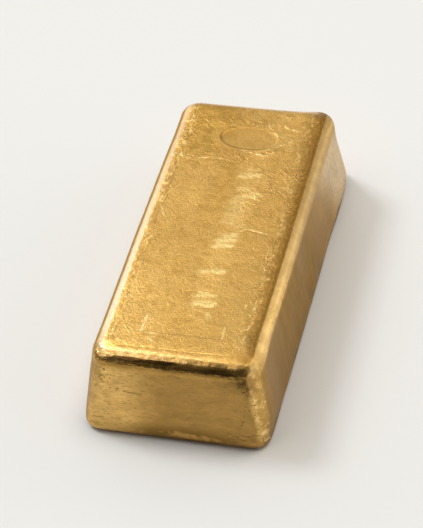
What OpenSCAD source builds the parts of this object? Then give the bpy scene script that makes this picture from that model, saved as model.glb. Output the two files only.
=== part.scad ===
// Cast gold bar, lying on the wide face that was open while it was poured.
// One solid: drafted sides and ends with a slight bow, a shoulder rolled over into
// the narrow top face, a rounded foot, a shrinkage hollow underneath, and two blank
// punched marks in the top, an oval near the far end and a panel near the near end.
// Millimetres, length along Y with the near end at -Y, origin under the middle at floor level.

/* [Bar] */
// Overall length, across the feet of the two ends
base_length = 194; // [140:1:290]
// Overall width, across the feet of the two long sides
base_width = 85; // [65:1:110]
// Overall height
bar_height = 43; // [28:0.5:60]

/* [Mould taper] */
// Draft of the long sides, in degrees
side_draft = 8.4; // [2:0.1:14]
// Draft of the two ends, in degrees
end_draft = 9.2; // [2:0.1:14]
// How far each long side bows out between its ends
side_bow = 0.5; // [0:0.1:2]

/* [Edges] */
// Plan radius of the upright corners at the foot
foot_corner_r = 9.5; // [5:0.5:16]
// Plan radius of the upright corners at the top
top_corner_r = 7.5; // [4:0.5:16]
// Radius of the shoulder between the walls and the top face
shoulder_r = 7; // [3:0.5:10]
// Radius of the edge between the walls and the underside
foot_r = 3; // [1:0.25:5]

/* [Underside] */
// Width of the flat rim that the bar rests on
rest_rim = 10; // [4:0.5:18]
// Depth of the shrinkage hollow inside the rim
sink_depth = 1.2; // [0.4:0.1:3]

/* [Oval mark] */
// Size of the oval across the bar
oval_across = 27.5; // [16:0.5:36]
// Size of the oval along the bar
oval_along = 16.5; // [8:0.5:24]
// Distance of its centre from the far end
oval_from_end = 33; // [28:0.5:55]

/* [Panel mark] */
// Size of the panel across the bar
panel_across = 35.5; // [16:0.5:40]
// Size of the panel along the bar
panel_along = 9.5; // [6:0.5:16]
// Distance of its centre from the near end
panel_from_end = 28.5; // [26:0.5:55]
// Radius of its corners
panel_corner_r = 0.8; // [0.3:0.1:2]

/* [Punching] */
// Depth of both marks
mark_depth = 0.6; // [0.3:0.1:1.5]
// Slope of the marks' walls, in degrees from upright
mark_draft = 35; // [10:1:50]
// How far right of the middle both marks were struck
mark_offset = 1; // [-4:0.5:4]

/* [Hidden] */
gold = [0.80, 0.62, 0.31];

// Steps round a corner, along a long side, and across each edge or hollow
corner_steps = 10;
side_steps = 8;
shoulder_steps = 10;
foot_steps = 6;
sink_steps = 6;
oval_steps = 64;

// Smallest plan radius of any rounded outline
least_r = 0.3;
// Share of the rim's half width that the hollow's slope takes up
sink_slope = 0.7;
// How far a punch stands above the top face
punch_over = 1;

// Wall of one side, as its half width at height z: foot edge, drafted wall, shoulder
function foot_line(half, draft) = half + foot_r * (tan(draft) + 1 / cos(draft) - 1);
function wall(z, half, draft) = foot_line(half, draft) - z * tan(draft);
function foot_edge(z, half) = half - foot_r + foot_r * cos(asin(z / foot_r - 1));
function shoulder(z, half, draft) =
    let (under = bar_height - shoulder_r)
    wall(under, half, draft) - shoulder_r / cos(draft)
        + shoulder_r * cos(asin(min(1, (z - under) / shoulder_r)));
function half_at(z, half, draft) =
    z < foot_r * (1 + sin(draft)) ? foot_edge(z, half)
    : z > bar_height - shoulder_r * (1 - sin(draft)) ? shoulder(z, half, draft)
    : wall(z, half, draft);

// Plan corner radius at height z, which the foot edge and shoulder take in with them
function corner_at(z) =
    let (
        upright = foot_corner_r + (top_corner_r - foot_corner_r) * z / bar_height,
        taken_in = wall(z, base_width / 2, side_draft) - half_at(z, base_width / 2, side_draft)
    )
    max(least_r, upright - taken_in);

// Rounded rectangle at height z, anticlockwise, whose long sides take extra points if bowed
function quarter(x, y, r, start) =
    [for (i = [0:corner_steps]) let (a = start + 90 * i / corner_steps) [x + r * cos(a), y + r * sin(a)]];
function side(x, from, to, bow) =
    bow > 0 ? [for (i = [1:side_steps - 1]) [x, from + (to - from) * i / side_steps]] : [];
function rectangle(hx, hy, r, z, bow = 0) =
    let (
        cx = hx - r,
        cy = hy - r,
        outline = concat(
            side(hx, -cy, cy, bow), quarter(cx, cy, r, 0), quarter(-cx, cy, r, 90),
            side(-hx, cy, -cy, bow), quarter(-cx, -cy, r, 180), quarter(cx, -cy, r, 270)
        )
    )
    [for (p = outline) [p.x * (1 - bow / hx * pow(p.y / hy, 2)), p.y, z]];

// Sections of the bar at height z, and of the hollow from its rim, 0, to its floor, 1
function bar_section(z) = rectangle(
    half_at(z, base_width / 2, side_draft), half_at(z, base_length / 2, end_draft),
    corner_at(z), z, side_bow
);
function sink_section(part) =
    let (
        rim_x = base_width / 2 - foot_r - rest_rim,
        rim_y = base_length / 2 - foot_r - rest_rim,
        inset = part * sink_slope * rim_x,
        depth = sink_depth * (1 - cos(180 * part)) / 2
    )
    rectangle(rim_x - inset, rim_y - inset, min(foot_corner_r, rim_x - inset - least_r), depth, side_bow);

// Solid through a stack of outlines that have as many points each, lowest first
module loft(outlines) {
    count = len(outlines[0]);
    levels = len(outlines) - 1;
    walls = [
        for (level = [0:levels - 1], i = [0:count - 1])
            let (
                next = (i + 1) % count,
                a = level * count + i,
                b = a + count,
                c = (level + 1) * count + next,
                d = level * count + next
            )
            each [[a, b, c], [a, c, d]]
    ];
    floor_face = [for (i = [0:count - 1]) i];
    roof_face = [for (i = [count - 1:-1:0]) levels * count + i];
    polyhedron(points = [for (outline = outlines) each outline], faces = concat([floor_face], walls, [roof_face]));
}

// Cast body: hollow, foot edge, walls and shoulder in one skin
module cast_body() {
    steepest = max(side_draft, end_draft);
    foot_heights = [
        for (i = [0:foot_steps]) foot_r * (1 - cos(90 * i / foot_steps)),
        foot_r * (1 + sin(steepest))
    ];
    shoulder_heights = [
        for (i = [0:shoulder_steps])
            bar_height - shoulder_r * (1 - sin(steepest + (90 - steepest) * i / shoulder_steps))
    ];
    loft(concat(
        [for (i = [sink_steps:-1:0]) sink_section(i / sink_steps)],
        [for (z = concat(foot_heights, shoulder_heights)) bar_section(z)]
    ));
}

// How much wider than the floor of a mark its punch is at height z above that floor
function flare(z) = (z - mark_depth) * tan(mark_draft);

module oval_punch() {
    function oval(z) = [
        for (i = [0:oval_steps - 1])
            let (a = 360 * i / oval_steps)
            [(oval_across / 2 + flare(z)) * cos(a), (oval_along / 2 + flare(z)) * sin(a), z]
    ];
    translate([mark_offset, base_length / 2 - oval_from_end, bar_height - mark_depth])
        loft([oval(0), oval(mark_depth + punch_over)]);
}

module panel_punch() {
    function panel(z) = rectangle(
        panel_across / 2 + flare(z), panel_along / 2 + flare(z), panel_corner_r, z
    );
    translate([mark_offset, panel_from_end - base_length / 2, bar_height - mark_depth])
        loft([panel(0), panel(mark_depth + punch_over)]);
}

module gold_bar() {
    color(gold)
        difference() {
            cast_body();
            oval_punch();
            panel_punch();
        }
}

gold_bar();
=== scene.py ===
import math

import bmesh
import bpy
import numpy as np
from mathutils import Matrix, Vector


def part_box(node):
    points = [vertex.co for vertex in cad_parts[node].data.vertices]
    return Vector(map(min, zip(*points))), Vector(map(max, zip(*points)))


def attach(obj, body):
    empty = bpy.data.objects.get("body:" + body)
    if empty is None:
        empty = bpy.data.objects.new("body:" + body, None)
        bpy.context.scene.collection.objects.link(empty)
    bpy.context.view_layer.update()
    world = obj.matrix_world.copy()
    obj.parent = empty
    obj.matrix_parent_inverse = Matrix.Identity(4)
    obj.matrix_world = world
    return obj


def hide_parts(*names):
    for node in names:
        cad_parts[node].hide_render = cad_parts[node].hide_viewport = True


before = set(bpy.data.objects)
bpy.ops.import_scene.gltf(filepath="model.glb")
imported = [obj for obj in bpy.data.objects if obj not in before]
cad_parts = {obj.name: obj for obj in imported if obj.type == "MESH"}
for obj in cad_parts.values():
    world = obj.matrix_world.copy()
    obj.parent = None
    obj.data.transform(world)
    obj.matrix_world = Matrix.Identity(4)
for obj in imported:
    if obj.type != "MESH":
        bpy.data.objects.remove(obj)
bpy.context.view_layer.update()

# The bar: about twelve kilograms of gold poured into an open iron mould and turned out
# upside down, so the narrow face that lay on the mould's floor is now on top. The mould's
# draft is on every wall, and the metal rolled over at the shoulder as it froze.
low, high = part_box("gold_bar")
bar_length = high[1] - low[1]
bar_width = high[0] - low[0]
bar_height = high[2] - low[2]
side_draft = math.radians(8.4)
end_draft = math.radians(9.2)
shoulder_r = 0.007
foot_r = 0.003
corner_r = 0.0085
side_bow = 0.0005
# how many times as wide as the solid the photograph shows the bar
widening = 1.02
# the hollow underneath, from the rim inwards: how far in each step goes, and how far up
hollow_steps = ((0.010, 0), (0.007, 0.0003), (0.007, 0.0006), (0.006, 0.0003))
# where the skin is cut into even faces, in millimetres
cuts_along = range(-80, 81, 8)
cuts_across = (-26, -17.4, -8.7, 0, 8.7, 17.4, 26)
cuts_up = (12, 20, 28)
# how far from a plane a corner may lie and still be taken as on it
tolerance = 0.0003
same_row = 1e-5


def pick(domain, test):
    """Selects, in edit mode, only those verts, edges or faces whose corners all pass."""
    bpy.ops.mesh.select_mode(type={"verts": "VERT", "edges": "EDGE", "faces": "FACE"}[domain])
    bpy.ops.mesh.select_all(action="DESELECT")
    skin = bmesh.from_edit_mesh(bpy.context.object.data)
    for part in getattr(skin, domain):
        corners = [part.co] if domain == "verts" else [v.co for v in part.verts]
        part.select_set(test(corners))
    skin.select_flush_mode()
    bmesh.update_edit_mesh(bpy.context.object.data)


def finish_modifier(piece, modifier):
    with bpy.context.temp_override(object=piece, active_object=piece):
        bpy.ops.object.modifier_apply(modifier=modifier.name)


def sharp_half(half, draft, height):
    """Half width of a drafted wall at a height, were its foot and shoulder left sharp."""
    foot_line = half + foot_r * (math.tan(draft) + 1 / math.cos(draft) - 1)
    return foot_line - height * math.tan(draft)


sharp_foot = (sharp_half(bar_width / 2, side_draft, 0), sharp_half(bar_length / 2, end_draft, 0))
sharp_top = (
    sharp_half(bar_width / 2, side_draft, bar_height),
    sharp_half(bar_length / 2, end_draft, bar_height),
)
bpy.ops.object.select_all(action="DESELECT")
bpy.ops.mesh.primitive_cube_add(
    size=1, location=(0, 0, bar_height / 2), scale=(2 * sharp_foot[0], 2 * sharp_foot[1], bar_height)
)
bar = bpy.context.object
bar.name = "cast_gold_bar"
bpy.ops.object.transform_apply(location=True, rotation=True, scale=True)

bpy.ops.object.mode_set(mode="EDIT")
pick("verts", lambda c: c[0].z > bar_height - tolerance)
bpy.ops.transform.resize(
    value=(sharp_top[0] / sharp_foot[0], sharp_top[1] / sharp_foot[1], 1),
    center_override=(0, 0, bar_height),
)
pick("edges", lambda c: abs(c[0].z - c[1].z) > bar_height / 2)
bpy.ops.mesh.bevel(offset=corner_r, segments=4, affect="EDGES")
pick("edges", lambda c: min(v.z for v in c) > bar_height - tolerance)
bpy.ops.mesh.bevel(
    offset=shoulder_r * math.tan((math.pi / 2 - side_draft) / 2), segments=4, affect="EDGES"
)
pick("edges", lambda c: max(v.z for v in c) < tolerance)
bpy.ops.mesh.bevel(
    offset=foot_r * math.tan((math.pi / 2 + side_draft) / 2), segments=3, affect="EDGES"
)

# underside: flat rim, then the hollow that the last metal to freeze drew down
half_x, half_y = bar_width / 2 - foot_r, bar_length / 2 - foot_r
pick("faces", lambda c: max(v.z for v in c) < tolerance)
for step, rise in hollow_steps:
    bpy.ops.mesh.extrude_region_move()
    bpy.ops.transform.resize(
        value=(1 - step / half_x, 1 - step / half_y, 1), center_override=(0, 0, 0)
    )
    bpy.ops.transform.translate(value=(0, 0, rise))
    half_x -= step
    half_y -= step

# even quads over the whole skin, bowed out between the ends and rounded
cuts = [((0, along / 1000, 0), (0, 1, 0)) for along in cuts_along]
cuts += [((across / 1000, 0, 0), (1, 0, 0)) for across in cuts_across]
cuts += [((0, 0, rise / 1000), (0, 0, 1)) for rise in cuts_up]
for place, normal in cuts:
    bpy.ops.mesh.select_all(action="SELECT")
    bpy.ops.mesh.bisect(plane_co=place, plane_no=normal)
for row in sorted({round(v.co.y, 5) for v in bmesh.from_edit_mesh(bar.data).verts}):
    pick("verts", lambda c: abs(c[0].y - row) < same_row)
    bpy.ops.transform.resize(
        value=(1 - 2 * side_bow / bar_width * (2 * row / bar_length) ** 2, 1, 1),
        center_override=(0, 0, 0),
    )
bpy.ops.object.mode_set(mode="OBJECT")
rounding = bar.modifiers.new("rounding", "SUBSURF")
rounding.levels = rounding.render_levels = 2
finish_modifier(bar, rounding)
bpy.ops.object.shade_smooth()

# what the casting and the punches left on the skin, and where highlights and shade are painted
# on it, in millimetres: in plan on the top, and with heights on the near end
oval_centre, oval_half = (1, 63.5), (13.75, 8.25)
panel_centre, panel_half = (1, -68.5), (17.75, 4.75)
folds = [
    [(-36.5, 73.1), (-33.9, 72.2), (-31.8, 72.1), (-28.4, 72.8)],
    [(-32.9, 46), (-30.7, 48), (-27.6, 46.8), (-24.7, 45.7), (-19.3, 44.2)],
    [(-19.5, 45.7), (-14.3, 46.8), (-8.9, 46.6)],
    [(7.3, 76.8), (8.4, 74.1), (9.8, 71.5), (11.9, 69.6), (14.4, 66.9)],
    [(16.3, 74.5), (18.8, 72.9), (22.1, 72.4)],
    [(14.4, 66.9), (18.2, 66.9), (21.6, 65.4), (20.8, 63.3), (15.9, 59.8), (11.9, 56.5)],
    [(-1.3, 54.3), (1.7, 54), (4.9, 52.9), (8.4, 52.2), (11.9, 51.9)],
    [(-29, 10.9), (-27.9, 7.8), (-26.7, 5.4), (-24.4, 1.6), (-22.6, -1.4)],
    [(11.3, -2.2), (14.1, -0.6), (18.6, -1.4), (23.4, -2.7)],
    [(-13.9, -75.9), (-11.9, -77.7), (-9.6, -79.2)],
    [(29.1, -8.6), (28.9, -11.2)], [(28.9, -16), (28.6, -18.4)], [(28.3, -21), (28, -23.2)],
    [(28.4, -49.4), (28.2, -52)], [(24.4, -50), (24.2, -51.6)], [(27.4, -55.4), (27.2, -58)],
    [(28.4, -62.4), (28.2, -65)], [(28, -69), (27.8, -71.4)], [(25.7, -64.8), (25.4, -66.6)],
]
panel_lines = [
    [(-16.7, -63.4), (-16.8, -68), (-17.2, -73)],
    [(-17.2, -73), (-13, -73.5), (-9.5, -73.4)],
    [(18.4, -65.2), (18.3, -69), (18.8, -72.4)],
]
panel_line_strengths = (1, 0.4, 0.4)
creases = [
    [(9.2, -3.7), (11.3, -3.1), (14.1, -1.6), (18.6, -2.4), (23.4, -3.7), (30.6, -3.8)],
    [(-5.7, -46.1), (-0.4, -44.6), (4.7, -42.9)],
    [(24.4, -40.7), (29.3, -39.2), (33.3, -36.8)],
    [(4.7, -55.2), (7.4, -54.4), (10.8, -54.3)],
    [(-25.7, -83), (-15.2, -82.9), (-3.5, -82.9), (7, -82.8), (17.9, -82.6), (27.1, -82)],
]
scratches = [
    [(-21.4, -93.5, 24.6), (-17.2, -93.6, 24.5), (-13.6, -93.6, 24.3)],
    [(-1.2, -91.6, 35.9), (1, -91.5, 36.7), (3.6, -91.8, 35.3)],
    [(-36.1, -95.4, 8.4), (-31.6, -95.9, 9.3)],
    [(33, -96, 8.7), (35.4, -95.5, 8.9), (37.6, -94.6, 8.6)],
]
# each pit's place and radius
pits = [
    ((-21.9, -90.6, 39.2), 1.1), ((-2.2, -90.4, 39.5), 1.0), ((31.2, -90.6, 37.7), 1.2),
    ((32.8, -89.3, 39.1), 1.0), ((-24.1, -93.4, 25.7), 0.6), ((-32.1, -92.1, 30.2), 0.5),
    ((-31.2, -92.5, 29.4), 0.6), ((33.2, -91.1, 33), 0.6), ((34.4, -91.4, 29.2), 0.5),
    ((29.6, -91, 36), 1.7), ((26.6, -91, 36.8), 1.3), ((23.4, -90.9, 37.4), 1),
]
# each glint's two ends, half width and strength, and the path that they lie along
glints = [
    ((3.3, 35.5), (10.7, 36.9), 1.8, 0.7), ((5.2, 40.2), (8.7, 40.7), 0.9, 0.4),
    ((4.4, 26.2), (9, 27.2), 1.5, 0.5), ((5.6, 20.9), (12, 22.2), 1.8, 0.6),
    ((10, 24.8), (14.8, 22.6), 1, 0.45), ((5.7, 16.2), (5.4, 7), 4.5, 0.3),
    ((1.6, 2.9), (11, 0.8), 1.3, 0.4), ((5.7, -7), (9.2, -5.7), 2, 0.6),
    ((2.4, -10.9), (9.4, -9.1), 2, 0.7), ((1.8, -14.4), (9, -13.3), 1.4, 1),
    ((-0.2, -31.9), (9.6, -30.4), 1.7, 0.6), ((6.1, -31.3), (9.7, -30.7), 1.3, 0.85),
    ((2, -45.1), (5.2, -45.2), 0.9, 0.9), ((0.9, -47.8), (9.2, -46.5), 1.1, 0.65),
    ((2, -52.5), (9.5, -51.7), 2, 0.7), ((6.1, -52.8), (9.3, -52.7), 1.3, 1),
    ((8.9, -58.2), (9.8, -60.2), 1.1, 0.55),
]
glint_path = [(10, 52), (9, 22), (6, -10), (5, -58)]
chip_place = (39.2, -92.9, 9.2)
crumple_place = (35.5, -84.6, 40.1)
# lines of the painted shade under the near crest, left and right, and its half width on the left
left_shade_line = [
    (-33.7, -88, 38.2), (-31.2, -89, 38.9), (-25.3, -89.2, 39.9), (-16.9, -89.2, 40.4),
    (-12.4, -89.5, 40.3), (-7.2, -89.5, 40.5), (4, -89.4, 40.5), (10.2, -89.5, 40.2),
]
left_shade_line_halves = {
    -34: 1.2, -31: 1.45, -25: 1.6, -17: 1.55, -12: 1.35, -7: 1.25, 4: 1.35, 10: 1.5,
}
right_shade_line = [(12, -90.2, 39.8), (22, -90.4, 38.9), (28, -90.7, 37.8), (31.4, -90.5, 36.4)]
# where the top is rougher and painted darker as shade, at the right end of the near edge
dull_patch = [(26.5, -82.5, 42.8), (31.8, -83.5, 42.5)]
# the corners that came out fuller, and the lines of the lip, its gutter and the top's borders
near_left_corner = (-35, -87, 38.5)
far_left_corner = (-33, 86, 40)
far_right_corner, far_right_size = (33, 87, 41), (8, 8, 11)
lip_y, gutter_y = -85.6, -82.9
left_border_x, right_border_x = -29.4, 27.8
# faces are cut in four on the shoulder and the near end, then again along the near and left
# edges of the top and twice round the marks
shoulder_start, shoulder_slope = 36.3, 0.03
near_end_start, near_end_foot = -84, 3
near_edge_start, left_edge_start = -83, -27
top_slope = 0.5
mark_margins = (2.1, 0.95)


def skin_points():
    """Places, in millimetres, and normals of the bar's vertices."""
    points = np.empty(3 * len(bar.data.vertices), "f")
    bar.data.vertices.foreach_get("co", points)
    slopes = np.empty_like(points)
    bar.data.vertices.foreach_get("normal", slopes)
    return 1000 * points.reshape(-1, 3), slopes.reshape(-1, 3)


def ease(value, start, end):
    part = np.clip((value - start) / (end - start), 0, 1)
    return part * part * (3 - 2 * part)


def peak(distance, width):
    return np.exp(-((distance / width) ** 2))


def reach(points, line):
    """Distance of every point from a line of corners, in plan if the corners have no height."""
    line = np.array(line, "f")
    points = points[:, : line.shape[1]]
    best = np.full(len(points), 1e9, "f")
    for start, end in zip(line, line[1:]):
        run = end - start
        part = np.clip((points - start) @ run / max(run @ run, 1e-9), 0, 1)
        best = np.minimum(best, np.linalg.norm(points - start - part[:, None] * run, axis=1))
    return best


def oval_edge(points):
    """Distance outside the oval's outline."""
    across = (points[:, :2] - oval_centre) / oval_half
    size = np.maximum(np.linalg.norm(across, axis=1), 1e-6)
    slope = np.linalg.norm(across / oval_half, axis=1) / size
    return (size - 1) / np.maximum(slope, 1e-6)


def panel_edge(points):
    """Distance outside the panel's outline."""
    over = np.abs(points[:, :2] - panel_centre) - panel_half
    return np.linalg.norm(np.maximum(over, 0), axis=1) + np.minimum(over.max(axis=1), 0)


def refine(chosen):
    """Cuts in four the faces whose corners all have a true value in chosen."""
    bpy.ops.object.mode_set(mode="EDIT")
    bpy.ops.mesh.select_mode(type="FACE")
    bpy.ops.mesh.select_all(action="DESELECT")
    bpy.ops.object.mode_set(mode="OBJECT")
    for face in bar.data.polygons:
        face.select = all(chosen[i] for i in face.vertices)
    bpy.ops.object.mode_set(mode="EDIT")
    bpy.ops.mesh.subdivide(number_cuts=1, smoothness=1)
    bpy.ops.object.mode_set(mode="OBJECT")


places, normals = skin_points()
rolled = (places[:, 2] > shoulder_start) & (normals[:, 2] > shoulder_slope)
refine(rolled | ((places[:, 1] < near_end_start) & (places[:, 2] > near_end_foot)))
for margin in mark_margins:
    places, normals = skin_points()
    on_top = normals[:, 2] > top_slope
    marked = on_top & (np.abs(oval_edge(places)) < margin)
    marked |= on_top & (np.abs(panel_edge(places)) < margin)
    for line in folds + panel_lines + creases:
        marked |= on_top & (reach(places, line) < margin)
    for line in scratches + [[place, place] for place, radius in pits]:
        marked |= reach(places, line) < margin
    if margin == mark_margins[0]:
        edges = (places[:, 1] < near_edge_start) | (on_top & (places[:, 0] < left_edge_start))
        marked |= (places[:, 2] > shoulder_start) & edges
    refine(marked)

# where the walls, the shoulder and their edges lie, from 0 to 1 at every vertex; the limits
# are places in millimetres, or parts of the skin's normals
places, normals = skin_points()
x, y, z = places.T
nx, ny, nz = normals.T
up = ease(nz, 0.55, 0.95)
flat = ease(nz, 0.9, 0.99)
above_foot = ease(z, 3, 12)
wall = 1 - ease(z, 34.5, 38)
shoulder = ease(z, 37, 40.5) * (1 - flat)
rolled_over = ease(z, 36, 40)
near_shoulder = ease(-y, 80, 84) * ease(z, 36, 39)
left_shoulder = ease(-x, 27, 31) * rolled_over
right_shoulder = ease(x, 28, 31) * rolled_over
near_end = ease(-ny, 0.5, 0.8)
right_side = ease(nx, 0.6, 0.9)
left_edge = ease(-nx, 0.1, 0.32) * rolled_over * (1 - ease(-ny, 0.1, 0.55))
round_corner = ease(-ny, 0.15, 0.6) * ease(nx, 0.1, 0.5)
right_edge = ease(nx, 0.45, 0.61) * ease(z + 9 * round_corner, 35.5, 37.5 + 7 * round_corner)
turn = np.degrees(np.arctan2(nx, -ny))
ragged = 3 * np.sin(0.33 * z) + 1.5 * np.sin(0.9 * z + 1)
corner = ease(turn + ragged, 24, 35) * (1 - ease(turn, 70, 84)) * (1 - ease(z, 38, 41))
past_oval = oval_edge(places)
least_share = 0.004


def away(place, size=1):
    """Distance of every vertex from a place, in millimetres or in the sizes given."""
    return np.linalg.norm((places - place) / size, axis=1)


def traced(lines, width):
    """How near every vertex is to the closest of some lines, from 1 on it down to 0."""
    share = np.zeros(len(places))
    for line in lines:
        share = np.maximum(share, peak(reach(places, line), width))
    return share


def press(name, share, rise, waves=None):
    """Moves the skin along its normals by rise millimetres, or by waves that high, times the
    share at each vertex."""
    group = bar.vertex_groups.new(name=name)
    for i in np.flatnonzero(share > least_share):
        group.add([int(i)], float(share[i]), "REPLACE")
    push = bar.modifiers.new(name, "DISPLACE")
    push.vertex_group = name
    push.strength = rise / 1000
    push.mid_level = 0
    if waves:
        push.texture = waves
        push.texture_coords = "LOCAL"
        push.mid_level = 0.5
    finish_modifier(bar, push)
    bar.vertex_groups.remove(bar.vertex_groups[name])


def roughen(name, share, size, detail, rise):
    """Waves of the given size, in millimetres, from hollows to crests rise apart."""
    waves = bpy.data.textures.new(name, "CLOUDS")
    waves.noise_scale = size / 1000
    waves.noise_depth = detail
    press(name, share, rise, waves)


roughen("cast waves", above_foot, size=34, detail=1, rise=0.4)
roughen("lumps", above_foot * (0.3 + 0.7 * up), size=8, detail=2, rise=0.2)
roughen("skin", up, size=2.6, detail=2, rise=0.05)

# the shoulder sagged at its near ends and is fuller at the corners
sagged = np.clip((-x - 4) / 29, 0, 1) ** 2 + 1.1 * np.clip((x - 2) / 29, 0, 1) ** 2
press("ends of the near shoulder", ease(-y, 80, 88) * ease(z, 28, 37) * sagged, rise=-0.9)
crumpled_near = near_shoulder * (0.12 + 0.38 * ease(-x, 8, 26))
roughen("crumpled near shoulder", crumpled_near, size=2.6, detail=2, rise=0.26)
low_end = ease(-y, 84, 88) * ease(z, 32, 37) * ease(x, 12, 32)
press("right end of the near shoulder", low_end * (1 - ease(z, 39.5, 42)), rise=-0.4)
far_right = peak(away(far_right_corner, far_right_size), 1)
press("fuller far right corner", far_right * ease(z, 24, 38) * (1 - 0.8 * up), rise=1.5)
far_edge = ease(y, 68, 88) * ease(x, 8, 22) * (1 - ease(x, 29, 36))
press("raised far edge", far_edge * rolled_over, rise=0.4)
press("fuller near left corner", peak(away(near_left_corner), 5), rise=0.5)
press("fuller far left corner", peak(away(far_left_corner), 7), rise=0.3)
near_right = ease(-y, 55, 88) * ease(x, 24, 35) * ease(z, 4, 14)
press("fuller near right corner", near_right, rise=1.05)
far_foot = ease(y, 42, 64) * (1 - ease(y, 76, 90)) * ease(x, 36, 41)
press("spread foot", far_foot * ease(z, 0.4, 3) * (1 - ease(z, 6, 16)), rise=0.8)

# its skin crumpled as it froze, and a lip ran along the near edge
roughen("waves of the near shoulder", near_shoulder, size=14, detail=1, rise=0.3)
roughen("crumpled left shoulder", left_shoulder, size=4.2, detail=3, rise=0.3)
crumpled_right = right_shoulder * (0.4 + 0.6 * ease(-y, 72, 84))
roughen("crumpled right shoulder", crumpled_right, size=3.2, detail=2, rise=0.38)
roughen("crumpled corner", corner * above_foot, size=3, detail=2, rise=0.36)
press("turned-over chip", peak(away(chip_place), 2), rise=0.6)
sunk_edge = np.clip((x - 22.5) / 8.5, 0, 1) ** 2
press("right edge of the top", up * sunk_edge * ease(y, -84, -66), rise=-0.5)
uneven = 0.7 + 0.2 * np.sin(0.23 * x + 0.6) + 0.15 * np.sin(0.61 * x + 2)
press("near lip", up * peak(y - lip_y, 1.3) * uneven, rise=0.09)
gutter = up * peak(y - gutter_y, 0.9) * (1 - ease(np.abs(x), 24, 30))
press("gutter behind the lip", gutter * uneven, rise=-0.06)

# the two punched marks, struck deeper on their near sides, and the finer marks
struck_deep = 1 - 0.6 * ease(y + 0.25 * x, 60, 71)
press("oval floor", up * (1 - ease(past_oval, -0.45, 0.45)) * struck_deep, rise=-0.2)
press("oval lip", up * peak(past_oval - 0.7, 0.5) * struck_deep, rise=0.06)
panel_floor = (1 - ease(panel_edge(places), -0.4, 0.3)) * (1 - ease(y, -71, -64.5))
press("panel floor", up * panel_floor, rise=-0.1)
broken = np.sin(1.1 * x + 0.7 * y) * np.sin(0.8 * y - 0.5 * x + 1)
fold_line = up * traced(folds, 0.38) * np.clip(0.55 + 0.9 * broken, 0.1, 1)
press("folds", np.maximum(fold_line, 0.75 * up * traced(panel_lines, 0.34)), rise=0.1)
groove = np.maximum(0.4 * up * traced(creases, 0.4), 0.7 * traced(scratches, 0.35))
for place, radius in pits:
    groove = np.maximum(groove, peak(away(place), radius))
press("creases and pits", groove, rise=-0.12)

# where each finish and each painted light or shade lies, from 0 to 1 at every vertex:
# first on the top
# the pits and scratches on the walls are made darker
finish = {"wall": wall, "shoulder": shoulder, "fold line": fold_line, "darkened_pits": groove * wall}
glint = np.zeros(len(places))
for start, end, half, strength in glints:
    glint = np.maximum(glint, strength * (1 - ease(reach(places, [start, end]) / half, 0.3, 1.5)))
finish["glint"] = up * glint
glint_column = 1 - ease(reach(places, glint_path), 2, 8)
upper = flat * ease(y, -5, 15) * (1 - ease(y, 36, 55))
# painted light on the top: lighter towards the near left, along the glints' path and on two patches
finish["painted_light"] = (
    flat * np.maximum(ease(-x, -6, 26) * ease(-y, -10, 60), 0.7 * glint_column)
    + 0.6 * upper * ease(-x, 7, 15) * (1 - ease(-x, 24, 30))
    + 0.45 * flat * ease(x, 6, 14) * (1 - ease(x, 21, 27)) * ease(y, 50, 66)
)
finish["shaded"] = (
    1.5 * flat * ease(y, 24, 74) * ease(-x, -5, 25)
    + 0.65 * left_edge * ease(y, -20, 70)
    + 0.9 * ease(-nx, 0.1, 0.4) * ease(-ny, 0.1, 0.5) * rolled_over
    + 0.5 * upper * peak(x + 2.5, 5.5)
)
# painted shade towards the near right of the top
finish["muted_shade"] = 0.55 * flat * ease(-y, -10, 60) * ease(x, 2, 24)
finish["flaky"] = 0.2 + ease(-x, 20, 29) + 0.6 * ease(x, 16, 26) + 0.5 * ease(-y, 60, 80)
finish["leafy"] = (
    (0.3 + 0.7 * np.maximum(ease(y, 36, 48), ease(x, 2, 10)))
    * ease(y, -10, 25)
    * ease(past_oval, 0, 2)
    * (1 - ease(x, 16, 23) * ease(y, 55, 70))
)
# where painted highlights and shade run beside the top's left and right borders
beside_edges = 1.5 * peak(x - left_border_x, 2) + 0.9 * peak(x - right_border_x, 2.4)
finish["border"] = beside_edges * ease(z, 40, 42)
# painted shade band along the right shoulder
band_start = 25 - 2.5 * ease(y, 30, 80) - 2 * ease(-y, 10, 60)
band_end = 31
finish["band"] = (
    np.clip((x - band_start) / (band_end - band_start), 0, 1) ** (2 - 0.8 * ease(y, 30, 80))
    * (1 - ease(nx, 0.46, 0.54))
    * (1 - ease(-ny, 0.15, 0.4))
    * ease(z, 38, 40)
)
finish["low"] = ease(-y, -40, 75)
finish["struck"] = up * (1 - ease(past_oval, -1.2, -0.4))
# painted highlight along the panel's lines
struck_line = np.zeros(len(places))
for line, strength in zip(panel_lines, panel_line_strengths):
    struck_line = np.maximum(struck_line, strength * peak(reach(places, line), 0.45))
finish["struck line"] = struck_line
# painted shade just outside the oval, strongest on its near left
near_left = (oval_centre[0] - x) / oval_half[0] + (oval_centre[1] - y) / oval_half[1]
finish["outline"] = up * peak(past_oval - 0.3, 0.4) * (0.35 + 0.65 * ease(near_left, -0.7, 0.6))

# then on the shoulder, mostly painted highlights, reflections and shade
# painted highlight along the left shoulder and on the far shoulder
finish["pale"] = (
    left_edge * (1 - 0.65 * ease(y, -60, 80)) * (1 - 0.6 * ease(-y, 68, 88))
    + 0.9 * ease(ny, 0.2, 0.5) * rolled_over
)
# painted shade on the outermost part of the left shoulder
finish["rim"] = ease(-nx, 0.54, 0.7) * ease(z, 30, 34) * (1 - ease(-ny, 0.2, 0.6))
# painted reflection of the lit floor along the right shoulder
finish["painted_reflection"] = right_edge
# painted highlight along the near crest
crest = ease(-y, 83.5, 86) * ease(nz + 0.2 * ease(-x, 4, 26), 0.74, 0.84)
finish["crest"] = crest * (1 - 0.6 * ease(x, -12, 24))
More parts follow.
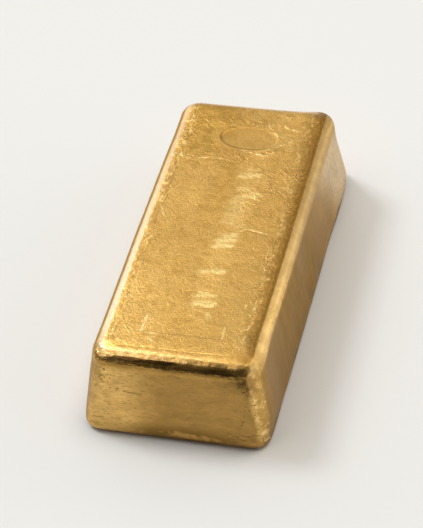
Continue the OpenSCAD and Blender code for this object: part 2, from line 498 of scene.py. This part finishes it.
# painted shade under the near crest
fold_half = np.interp(x, list(left_shade_line_halves), list(left_shade_line_halves.values()))
crest_shade = 1 - ease(reach(places, left_shade_line) / fold_half, 0.75, 1.25)
crest_shade *= np.maximum(ease(nz, 0.56, 0.74), 0.45 * ease(-x, 24, 30))
finish["crest_shade"] = crest_shade * (1 - ease(x, -5, 10))
# painted shade at the right end of the shade band
finish["shade_hook"] = (1 - ease(reach(places, right_shade_line), 0.8, 2.3)) * ease(x, 10, 24)
# painted shade on the near end just below the crest
shade_under_band = near_end * ease(nz, 0.17, 0.27) * (1 - ease(nz, 0.34, 0.5))
finish["shade below crest"] = shade_under_band * (1 - 0.6 * ease(x, 16, 28))
flecked = ease(-x, -2, 20) * ease(nz, 0.2, 0.4) * (1 - ease(nz, 0.66, 0.8))
finish["flecked"] = near_shoulder * flecked
# rougher, and painted darker as shade, at the near right corner, along the right edge's near end and
# along the lip
dulled_and_shaded = peak(reach(places, dull_patch), 4.6)
dulled_and_shaded = np.maximum(dulled_and_shaded, 0.5 * right_edge * ease(-y, 70, 84))
finish["dulled_and_shaded"] = np.maximum(dulled_and_shaded, 0.36 * up * peak(y + 85.2, 1.6) * ease(x, -22, -2))

# then on the walls and at the foot, mostly painted light, shade and reflection
# painted light on the near end, towards its left, and on the near right corner
finish["bright"] = near_end * ease(-x, 4, 30) + corner
finish["corner"] = corner + 0.7 * right_edge * ease(-y, 76, 84)
# painted reflection of the floor on the far end of the right side
finish["painted_floor_reflection"] = right_side * ease(y + 0.5 * (z - 20), 40, 68) * wall
# painted shade on the right side, deepest along its middle
finish["dark"] = right_side * (1 - 0.9 * ease(y, 10, 45)) * (0.5 + 0.5 * ease(y, -90, -40))
finish["specked"] = near_end * (
    0.7 * ease(z, 32, 36)
    + ease(x, 25, 32) * ease(z, 8, 16)
    + 0.7 * ease(-x, 20, 26) * ease(z, 22, 27)
)
# painted shade along the near end's foot
foot = (1 - ease(z, 4.5, 11)) * (1 - 0.85 * ease(-x, 4, 28)) * (1 - 0.5 * ease(x, 12, 32))
finish["foot"] = near_end * foot
ledge_wave = 0.7 * np.sin(0.17 * x + 1) + 0.4 * np.sin(0.41 * x + 2.2) + 0.12 * np.sin(1.1 * x)
above_ledge = z - ledge_wave
finish["ledge"] = near_end * ease(above_ledge, 2.2, 3.4) * (1 - ease(above_ledge, 4.9, 6))
finish["foot marks"] = near_end * peak(x - 29, 6) * peak(z - 6.8, 2.4)
# painted shade along the right side's foot
brink_wave = 0.9 * np.sin(0.13 * y) + 0.6 * np.sin(0.31 * y + 1) + 0.3 * np.sin(0.83 * y)
finish["brink"] = right_side * (1 - ease(z - brink_wave, 2.6, 4.2))
# painted highlight on the turned-over chip and on the crumple beside it
chip = 1 - ease(away(chip_place), 0.9, 1.9)
finish["chip"] = np.maximum(chip, 0.6 * peak(away(crumple_place), 2.2))
for name, share in finish.items():
    attribute = bar.data.attributes.new(name, "FLOAT", "POINT")
    attribute.data.foreach_set("value", np.clip(share, 0, 1).astype("f"))

# the gold: leafy and satin on top, smoother on the shoulder, streaked and less glossy on the walls,
# whose colour is darkened as painted shade; many colours below paint light and shade
top_gold = (0.79, 0.47, 0.128)
# painted light on the top
painted_light_gold = (0.89, 0.55, 0.163)
shaded_gold = (0.5, 0.275, 0.05), (0.64, 0.365, 0.08)
# painted shade towards the near right of the top
muted_shade_gold = (0.57, 0.35, 0.1)
# painted highlight on the shoulder
painted_highlight_gold = (0.88, 0.68, 0.44)
# painted highlight on the top's crinkles
leaf_edge_highlight = (0.98, 0.7, 0.29)
# painted reflection on the right shoulder, far and near
painted_reflection_far = (0.53, 0.35, 0.135), (0.62, 0.42, 0.17)
painted_reflection_near = (0.8, 0.53, 0.19), (0.93, 0.64, 0.25)
# painted shade band on the right shoulder, far and near
shade_band_far, shade_band_near = (0.345, 0.178, 0.033), (0.4, 0.218, 0.047)
# painted shade at the left rim, in its colour and its reflection's tint
rim_shade_gold, rim_shade_tint = (0.66, 0.43, 0.17), (0.6, 0.46, 0.28)
# painted highlight along the near crest
crest_highlight_gold = (0.94, 0.63, 0.27)
# painted highlights on bits along the shade band
bit_highlight_gold = (0.95, 0.62, 0.22)
# painted highlights on lines and crumbs beside the top's borders
border_edge_highlight, border_crumb_highlight = (0.96, 0.64, 0.24), (0.98, 0.72, 0.33)
# painted shade where the top is rougher
dulled_and_shaded_gold = (0.44, 0.25, 0.06)
# painted shade under the near crest
crest_shade_gold = (0.145, 0.075, 0.019)
struck_gold = (0.9, 0.535, 0.145)
# the walls' gold, darkened as painted shade
shaded_wall_gold = (0.475, 0.278, 0.078)
# painted light on the walls
painted_light_wall = (0.83, 0.52, 0.165), (1, 0.65, 0.215)
# painted shade on the right side
painted_shade_wall = (0.32, 0.172, 0.018), (0.39, 0.213, 0.026)
# painted reflection of the floor on the right side
painted_floor_reflection_gold = (0.7, 0.53, 0.315)
# painted shade below the near crest and at the shade band's end, and darkened pits
shade_and_pit_gold = (0.12, 0.068, 0.018)
# painted shade along the feet
foot_shade_gold, brink_shade_gold = (0.23, 0.13, 0.028), (0.2, 0.1, 0.012)
speck_gold = (0.21, 0.118, 0.028)
foot_mark_dark, foot_mark_light = (0.19, 0.1, 0.028), (0.78, 0.47, 0.14)
# painted shade and highlights on the corner's dents
dent_shade, dent_highlight = (0.5, 0.29, 0.085), (1, 0.72, 0.28)
# painted highlight on the chip
chip_highlight_gold = (1, 0.74, 0.3)
# painted highlights along the panel's lines and the folds
struck_line_highlight_gold, fold_highlight_gold = (1, 0.78, 0.38), (1, 0.76, 0.35)
glint_gold = (1, 0.74, 0.29)
# dark brown of the grain, also painted as shade beside crinkles and borders and outside the oval
tarnish_and_shade = (0.46, 0.245, 0.048)
bump_depth = 0.00028

gold = bpy.data.materials.new("cast gold")
gold.use_nodes = True
# the node tree that the next functions add to
tree = gold.node_tree
gold_shade = tree.nodes["Principled BSDF"]
gold_shade.inputs["Metallic"].default_value = 1
bar_place = tree.nodes.new("ShaderNodeTexCoord").outputs["Object"]


def feed(socket, value):
    """Puts a plain number or colour in a socket, or links another node's output to it."""
    if isinstance(value, bpy.types.NodeSocket):
        tree.links.new(value, socket)
    elif isinstance(value, tuple) and socket.type == "RGBA":
        socket.default_value = (*value, 1)
    else:
        socket.default_value = value


def sums(operation, *terms):
    step = tree.nodes.new("ShaderNodeMath")
    step.operation = operation
    for socket, term in zip(step.inputs, terms):
        feed(socket, term)
    return step.outputs[0]


def times(first, *others):
    for term in others:
        first = sums("MULTIPLY", first, term)
    return first


def plus(base, value, share):
    """The base and a share of the value."""
    return sums("MULTIPLY_ADD", value, share, base)


def span(value, start, end, to_start=0.0, to_end=1.0):
    """Eases from one number to another as the value goes from start to end."""
    step = tree.nodes.new("ShaderNodeMapRange")
    step.interpolation_type = "SMOOTHSTEP"
    for name, term in (
        ("Value", value), ("From Min", start), ("From Max", end),
        ("To Min", to_start), ("To Max", to_end),
    ):
        feed(step.inputs[name], term)
    return step.outputs["Result"]


def grain(scale, detail=2.0, stretch=(1, 1, 1), rough=0.5, turned=0.0, swirl=0.0):
    """Noise on the bar's own coordinates, scale to the metre, stretched, then turned about Z."""
    lay = tree.nodes.new("ShaderNodeMapping")
    lay.vector_type = "TEXTURE"
    lay.inputs["Rotation"].default_value = (0, 0, math.radians(turned))
    lay.inputs["Scale"].default_value = [1 / c for c in stretch]
    tree.links.new(bar_place, lay.inputs["Vector"])
    step = tree.nodes.new("ShaderNodeTexNoise")
    step.inputs["Scale"].default_value = scale
    step.inputs["Detail"].default_value = detail
    step.inputs["Roughness"].default_value = rough
    step.inputs["Distortion"].default_value = swirl
    tree.links.new(lay.outputs["Vector"], step.inputs["Vector"])
    return step.outputs[0]


def foil(scale, detail, rough):
    """Noise drawn up into sharp creases, as in crumpled leaf."""
    step = grain(scale, detail, rough=rough).node
    step.noise_type = "RIDGED_MULTIFRACTAL"
    step.inputs["Offset"].default_value = 1
    step.inputs["Gain"].default_value = 1.8
    return step.outputs[0]


def line_at(value, level, width):
    """Thin lines along which a noise passes one level."""
    return span(sums("ABSOLUTE", sums("SUBTRACT", value, level)), 0.0, width, 1.0, 0.0)


def blend(part, first, second):
    step = tree.nodes.new("ShaderNodeMix")
    step.data_type = "RGBA"
    feed(step.inputs["Factor"], part)
    feed(step.inputs[6], first)
    feed(step.inputs[7], second)
    return step.outputs[2]


def layer(name):
    """Where one of the finishes lies."""
    step = tree.nodes.new("ShaderNodeAttribute")
    step.attribute_name = name
    return step.outputs["Fac"]


def scaled(colour, share):
    return tuple(share * c for c in colour)


# the grains that the casting left, from broad to fine, and those that run one way
blotch = grain(45, 3)
wrinkles = grain(150, 2.5, rough=0.55, swirl=0.5)
cloud = grain(160, 4, rough=0.6)
leaf = foil(230, 5, 0.55)
dents = grain(430, 2.5, rough=0.6)
rough_skin = grain(1250, 3, rough=0.62)
folded = grain(1, 2.5, (165, 290, 290), 0.55, turned=-22, swirl=0.7)
edgewise = grain(1, 2.5, (430, 120, 430), 0.55, swirl=0.4)
crumbs = grain(1, 3, (800, 330, 800), 0.6)
fleck = grain(1, 3, (1300, 420, 1300), 0.6)
lick = grain(1, 3, (420, 1100, 1100), 0.6)
streak = grain(1, 3, (190, 820, 190))
flow = grain(1, 7, (110, 110, 260), 0.66)
drip = grain(1, 3, (240, 240, 40), 0.6)
scuff = grain(1, 4, (330, 330, 1250), 0.68)

# the top's skin, with painted light, and painted shade beside its crinkles and painted highlights on
# them
creased = times(span(grain(70, 2), 0.42, 0.62), layer("flaky"))
layered = times(span(grain(90, 2), 0.4, 0.55), layer("leafy"))
skin = blend(span(blotch, 0.35, 0.65), scaled(top_gold, 1.03), scaled(top_gold, 0.8))
# painted light on the top
skin = blend(layer("painted_light"), skin, painted_light_gold)
skin = blend(span(cloud, 0.58, 0.36, 0.0, 0.42), skin, scaled(tarnish_and_shade, 1.3))
skin = blend(span(rough_skin, 0.62, 0.34, 0.0, 0.5), skin, tarnish_and_shade)
skin = blend(span(leaf, 1.0, 0.5, 0.0, 0.25), skin, tarnish_and_shade)
# painted shade beside the crinkles, then painted highlights on them
skin = blend(times(line_at(wrinkles, 0.44, 0.07), creased, 0.4), skin, tarnish_and_shade)
skin = blend(times(line_at(folded, 0.44, 0.08), layered, 0.6), skin, tarnish_and_shade)
skin = blend(times(line_at(wrinkles, 0.5, 0.04), creased, 0.15), skin, leaf_edge_highlight)
skin = blend(times(line_at(folded, 0.5, 0.03), layered, 0.22), skin, leaf_edge_highlight)

# the walls, whose gold is darkened as painted shade, with painted light, shade and floor reflection
# on parts of them
foot_marks = layer("foot marks")
# the walls' gold, darkened as painted shade, lighter and darker at random
side = blend(span(flow, 0.3, 0.7), scaled(shaded_wall_gold, 0.86), scaled(shaded_wall_gold, 1.23))
# painted light on the near end's left and on the near right corner
side = blend(layer("bright"), side, blend(span(cloud, 0.36, 0.62), *painted_light_wall))
# painted shade on the right side
side = blend(layer("dark"), side, blend(span(drip, 0.35, 0.65), *painted_shade_wall))
# painted shade along the near end's foot
side = blend(layer("foot"), side, foot_shade_gold)
side = blend(times(layer("ledge"), span(cloud, 0.45, 0.6)), side, scaled(shaded_wall_gold, 1.28))
side = blend(times(layer("specked"), span(grain(820, 2, rough=0.6), 0.6, 0.66)), side, speck_gold)
side = blend(times(foot_marks, span(scuff, 0.5, 0.4, 0.0, 0.9)), side, foot_mark_dark)
side = blend(times(foot_marks, span(scuff, 0.54, 0.64, 0.0, 0.6)), side, foot_mark_light)
# painted reflection of the floor on the far end of the right side
side = blend(layer("painted_floor_reflection"), side, painted_floor_reflection_gold)
# painted shade along the right side's foot
side = blend(layer("brink"), side, brink_shade_gold)
side = blend(span(blotch, 0.58, 0.4, 0.0, 0.3), side, scaled(shaded_wall_gold, 0.7))
side = blend(span(scuff, 0.5, 0.36, 0.0, 0.46), side, scaled(shaded_wall_gold, 0.62))

# the shoulder, the borders of the top and the marks, over both, mostly as painted highlights,
# reflections and shade
walls, nearer, duller_and_shaded = layer("wall"), layer("low"), layer("dulled_and_shaded")
colour = blend(walls, skin, side)
# painted shade on the top and shoulder, then softer painted shade towards the near right
colour = blend(layer("shaded"), colour, blend(span(cloud, 0.4, 0.6), *shaded_gold))
colour = blend(layer("muted_shade"), colour, muted_shade_gold)
# painted highlight on the shoulder
colour = blend(layer("pale"), colour, painted_highlight_gold)
# painted reflection on the right shoulder, frayed at its edge, with dark flecks in it
frayed = plus(layer("painted_reflection"), sums("SUBTRACT", edgewise, 0.5), 1.1)
frayed = plus(frayed, sums("SUBTRACT", cloud, 0.5), times(duller_and_shaded, 2.2))
painted_reflection = span(frayed, 0.2, 0.8)
painted_reflection_cloud = span(cloud, 0.36, 0.6)
painted_reflection_gold = blend(nearer, blend(painted_reflection_cloud, *painted_reflection_far), blend(painted_reflection_cloud, *painted_reflection_near))
colour = blend(painted_reflection, colour, painted_reflection_gold)
colour = blend(times(painted_reflection, span(fleck, 0.37, 0.3)), colour, tarnish_and_shade)
# painted shade at the left rim
colour = blend(layer("rim"), colour, rim_shade_gold)
# painted shade band along the right shoulder
band = layer("band")
dark_shade_band = times(band, span(fleck, 0.64, 0.5, 0.6, 1.0))
colour = blend(dark_shade_band, colour, blend(nearer, shade_band_far, shade_band_near))
# painted highlights on bits along the shade band
bits = times(span(grain(1, 3, (760, 300, 760), 0.6), 0.55, 0.63), span(grain(120, 2), 0.38, 0.55))
colour = blend(times(band, sums("SUBTRACT", 1.0, band), 2.6, bits), colour, bit_highlight_gold)
# painted shade and highlights on lines and crumbs beside the top's borders
beside = times(layer("border"), span(grain(130, 2), 0.36, 0.56))
colour = blend(times(beside, line_at(edgewise, 0.42, 0.08), 0.7), colour, tarnish_and_shade)
colour = blend(times(beside, line_at(edgewise, 0.54, 0.05), 0.65), colour, border_edge_highlight)
colour = blend(times(beside, span(crumbs, 0.44, 0.36, 0.0, 0.6)), colour, scaled(tarnish_and_shade, 0.8))
colour = blend(times(beside, span(crumbs, 0.57, 0.66, 0.0, 0.6)), colour, border_crumb_highlight)
# painted highlight along the near crest
colour = blend(times(layer("crest"), span(lick, 0.36, 0.6)), colour, crest_highlight_gold)
# painted shade just outside the oval
outline = times(layer("outline"), span(cloud, 0.6, 0.4, 0.7, 1.0))
colour = blend(outline, colour, scaled(tarnish_and_shade, 0.8))
# painted shade where the top is rougher
colour = blend(times(duller_and_shaded, 0.7), colour, dulled_and_shaded_gold)
# painted shade under the near crest
crest_shade_part = span(plus(layer("crest_shade"), sums("SUBTRACT", lick, 0.5), 0.9), 0.3, 0.7, 0.0, 0.95)
colour = blend(crest_shade_part, colour, crest_shade_gold)
# painted shade on the near end just below the crest
colour = blend(times(layer("shade below crest"), 0.42), colour, shade_and_pit_gold)
# painted shade at the right end of the shade band
colour = blend(times(layer("shade_hook"), span(lick, 0.62, 0.42, 0.35, 0.95)), colour, shade_and_pit_gold)
colour = blend(times(layer("struck"), 0.15), colour, struck_gold)
dented = layer("corner")
# painted shade and highlights on the corner's dents
colour = blend(times(dented, span(dents, 0.47, 0.36, 0.0, 0.6)), colour, dent_shade)
colour = blend(times(dented, span(dents, 0.54, 0.64, 0.0, 0.75)), colour, dent_highlight)
# painted highlight on the chip
colour = blend(layer("chip"), colour, chip_highlight_gold)
# painted highlight along the panel's lines
colour = blend(times(layer("struck line"), 0.85), colour, struck_line_highlight_gold)
# painted highlight along the folds
colour = blend(times(layer("fold line"), 0.65), colour, fold_highlight_gold)
patchy = times(span(streak, 0.32, 0.56, 0.55, 1.3), span(grain(420, 2), 0.36, 0.52, 0.45, 1.0))
colour = blend(times(layer("glint"), patchy), colour, glint_gold)
# pits and scratches on the walls made darker
colour = blend(times(layer("darkened_pits"), 0.75), colour, shade_and_pit_gold)
feed(gold_shade.inputs["Base Color"], colour)

# how dull each part is
shoulders = layer("shoulder")
dullness = sums("ADD", span(blotch, 0.3, 0.7, 0.28, 0.36), span(flow, 0.3, 0.7, -0.03, 0.03))
for part, more in ((walls, 0.1), (shoulders, -0.13), (layer("painted_reflection"), 0.2), (duller_and_shaded, 0.32)):
    dullness = plus(dullness, part, more)
feed(gold_shade.inputs["Roughness"], dullness)
# painted shade: the left rim's reflection is tinted darker
feed(gold_shade.inputs["Specular Tint"], blend(layer("rim"), (1.0, 1.0, 1.0), rim_shade_tint))

# the grain too fine for the mesh
smooth = sums("MAXIMUM", walls, times(layer("struck"), 0.6))
leafy_top = sums("SUBTRACT", 1.0, sums("MAXIMUM", times(shoulders, 0.75), smooth))
height = times(rough_skin, plus(0.11, leafy_top, 0.6))
for bumps, share in (
    (leaf, plus(0.06, leafy_top, 0.1)),
    (line_at(wrinkles, 0.5, 0.08), times(creased, leafy_top, 0.22)),
    (line_at(folded, 0.5, 0.08), times(layered, leafy_top, 0.26)),
    (line_at(edgewise, 0.54, 0.09), times(beside, 0.22)),
    (lick, times(layer("crest"), 0.16)),
    (lick, times(layer("flecked"), 0.7)),
    (dents, times(dented, 1.6)),
    (flow, times(walls, 0.5)),
    (scuff, times(walls, 0.24)),
):
    height = plus(height, bumps, share)
relief = tree.nodes.new("ShaderNodeBump")
relief.inputs["Strength"].default_value = 1
relief.inputs["Distance"].default_value = bump_depth
feed(relief.inputs["Height"], height)
feed(gold_shade.inputs["Normal"], relief.outputs["Normal"])
bar.data.materials.append(gold)

bpy.ops.object.mode_set(mode="EDIT")
bpy.ops.mesh.select_all(action="SELECT")
bpy.ops.transform.resize(value=(widening, 1, 1), center_override=(0, 0, 0))
bpy.ops.object.mode_set(mode="OBJECT")

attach(bar, "root")
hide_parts("gold_bar")

# The table: a sheet of pale matt paper laid flat, wide enough to fill the view and what the
# gold mirrors. The bar only rests on it.
table_size = 6
table_drop = 0.0002
paper_white = (0.79, 0.788, 0.785)
bpy.ops.object.select_all(action="DESELECT")
bpy.ops.mesh.primitive_plane_add(size=table_size, location=(0, 0, -table_drop))
table = bpy.context.object
table.name = "pale_table"
bpy.ops.object.transform_apply(location=True, rotation=True, scale=True)
paper = bpy.data.materials.new("pale paper")
paper.use_nodes = True
paper_shade = paper.node_tree.nodes["Principled BSDF"]
paper_shade.inputs["Base Color"].default_value = (*paper_white, 1)
paper_shade.inputs["Roughness"].default_value = 0.8
paper_shade.inputs["Specular IOR Level"].default_value = 0.2
table.data.materials.append(paper)

# The light: a softbox on the left and a little behind, a weak one above on the left, a broad
# one high overhead, and a dim room with soft patches of light round it for the gold to mirror.
key_way, key_distance = (-0.599, 0.266, 0.755), 14
top_place = (-0.85, -0.4, 2)
overhead_place = (0.83, 0.92, 4)
warm, cool, cooler = (1, 0.95, 0.86), (0.97, 0.98, 1), (0.9, 0.96, 1)
room_level = 0.03
patch_sharpness = 12.0
# each patch's height and bearing from the far end, in degrees, strength and tint
room_patches = (
    (42, 246, 0.72, warm), (42, 288, 0.82, cool), (42, 324, 0.82, cool), (38, 30, 0.34, warm),
    (20, 42, 0.4, warm), (18, 90, 0.3, warm), (35, 110, 0.25, warm), (8, 2, 0.5, warm),
    (2, 60, 1.76, warm), (2, 90, 0.6, warm), (3, 322, 1.42, cool),
)


def softbox(name, place, aim, size, watts, tint):
    light = bpy.data.lights.new(name, "AREA")
    light.shape = "RECTANGLE"
    light.size, light.size_y = size
    light.energy = watts
    light.color = tint
    box = bpy.data.objects.new(name, light)
    bpy.context.scene.collection.objects.link(box)
    box.location = place
    box.rotation_euler = (Vector(aim) - Vector(place)).to_track_quat("-Z", "Y").to_euler()


key_place = [key_distance * c for c in key_way]
under_top = (*top_place[:2], 0)
softbox("key softbox", key_place, (0, 0, 0.02), size=(3.73, 3.73), watts=697, tint=cooler)
softbox("top softbox", top_place, under_top, size=(0.95, 1.5), watts=4.8, tint=warm)
softbox("overhead softbox", overhead_place, (0, 0, 0), size=(1.7, 1.7), watts=65, tint=warm)

room = bpy.context.scene.world or bpy.data.worlds.new("room")
bpy.context.scene.world = room
room.use_nodes = True
tree = room.node_tree
tree.nodes.clear()
way = tree.nodes.new("ShaderNodeTexCoord").outputs["Generated"]
glow = [room_level * c for c in warm]
for rise, bearing, strength, tint in room_patches:
    rise, bearing = math.radians(rise), math.radians(bearing)
    toward = tree.nodes.new("ShaderNodeVectorMath")
    toward.operation = "DOT_PRODUCT"
    feed(toward.inputs[0], way)
    toward.inputs[1].default_value = (
        math.sin(bearing) * math.cos(rise), math.cos(bearing) * math.cos(rise), math.sin(rise)
    )
    fade = plus(-patch_sharpness, toward.outputs["Value"], patch_sharpness)
    gather = tree.nodes.new("ShaderNodeVectorMath")
    gather.operation = "MULTIPLY_ADD"
    feed(gather.inputs[0], sums("EXPONENT", fade))
    gather.inputs[1].default_value = [strength * c for c in tint]
    feed(gather.inputs[2], glow)
    glow = gather.outputs[0]
backdrop = tree.nodes.new("ShaderNodeBackground")
feed(backdrop.inputs["Color"], glow)
room_output = tree.nodes.new("ShaderNodeOutputWorld")
feed(room_output.inputs["Surface"], backdrop.outputs["Background"])

# The camera, as the photograph was taken: above and in front, a little to the right, with a
# long lens, and slightly tilted.
azimuth, elevation, roll = (math.radians(a) for a in (16.774, 42.464, -5.211))
stand = (0.21127, -0.71627, 0.70241)
sensor_mm, lens_mm = 36, 147.57
camera = bpy.data.objects.new("camera", bpy.data.cameras.new("camera"))
bpy.context.scene.collection.objects.link(camera)
look = (
    Matrix.Rotation(azimuth, 4, "Z")
    @ Matrix.Rotation(math.pi / 2 - elevation, 4, "X")
    @ Matrix.Rotation(roll, 4, "Z")
)
camera.matrix_world = Matrix.Translation(stand) @ look
camera.data.sensor_width = sensor_mm
camera.data.lens = lens_mm
camera.data.clip_start = 0.01
bpy.context.scene.camera = camera
bpy.context.scene.view_settings.view_transform = "Standard"
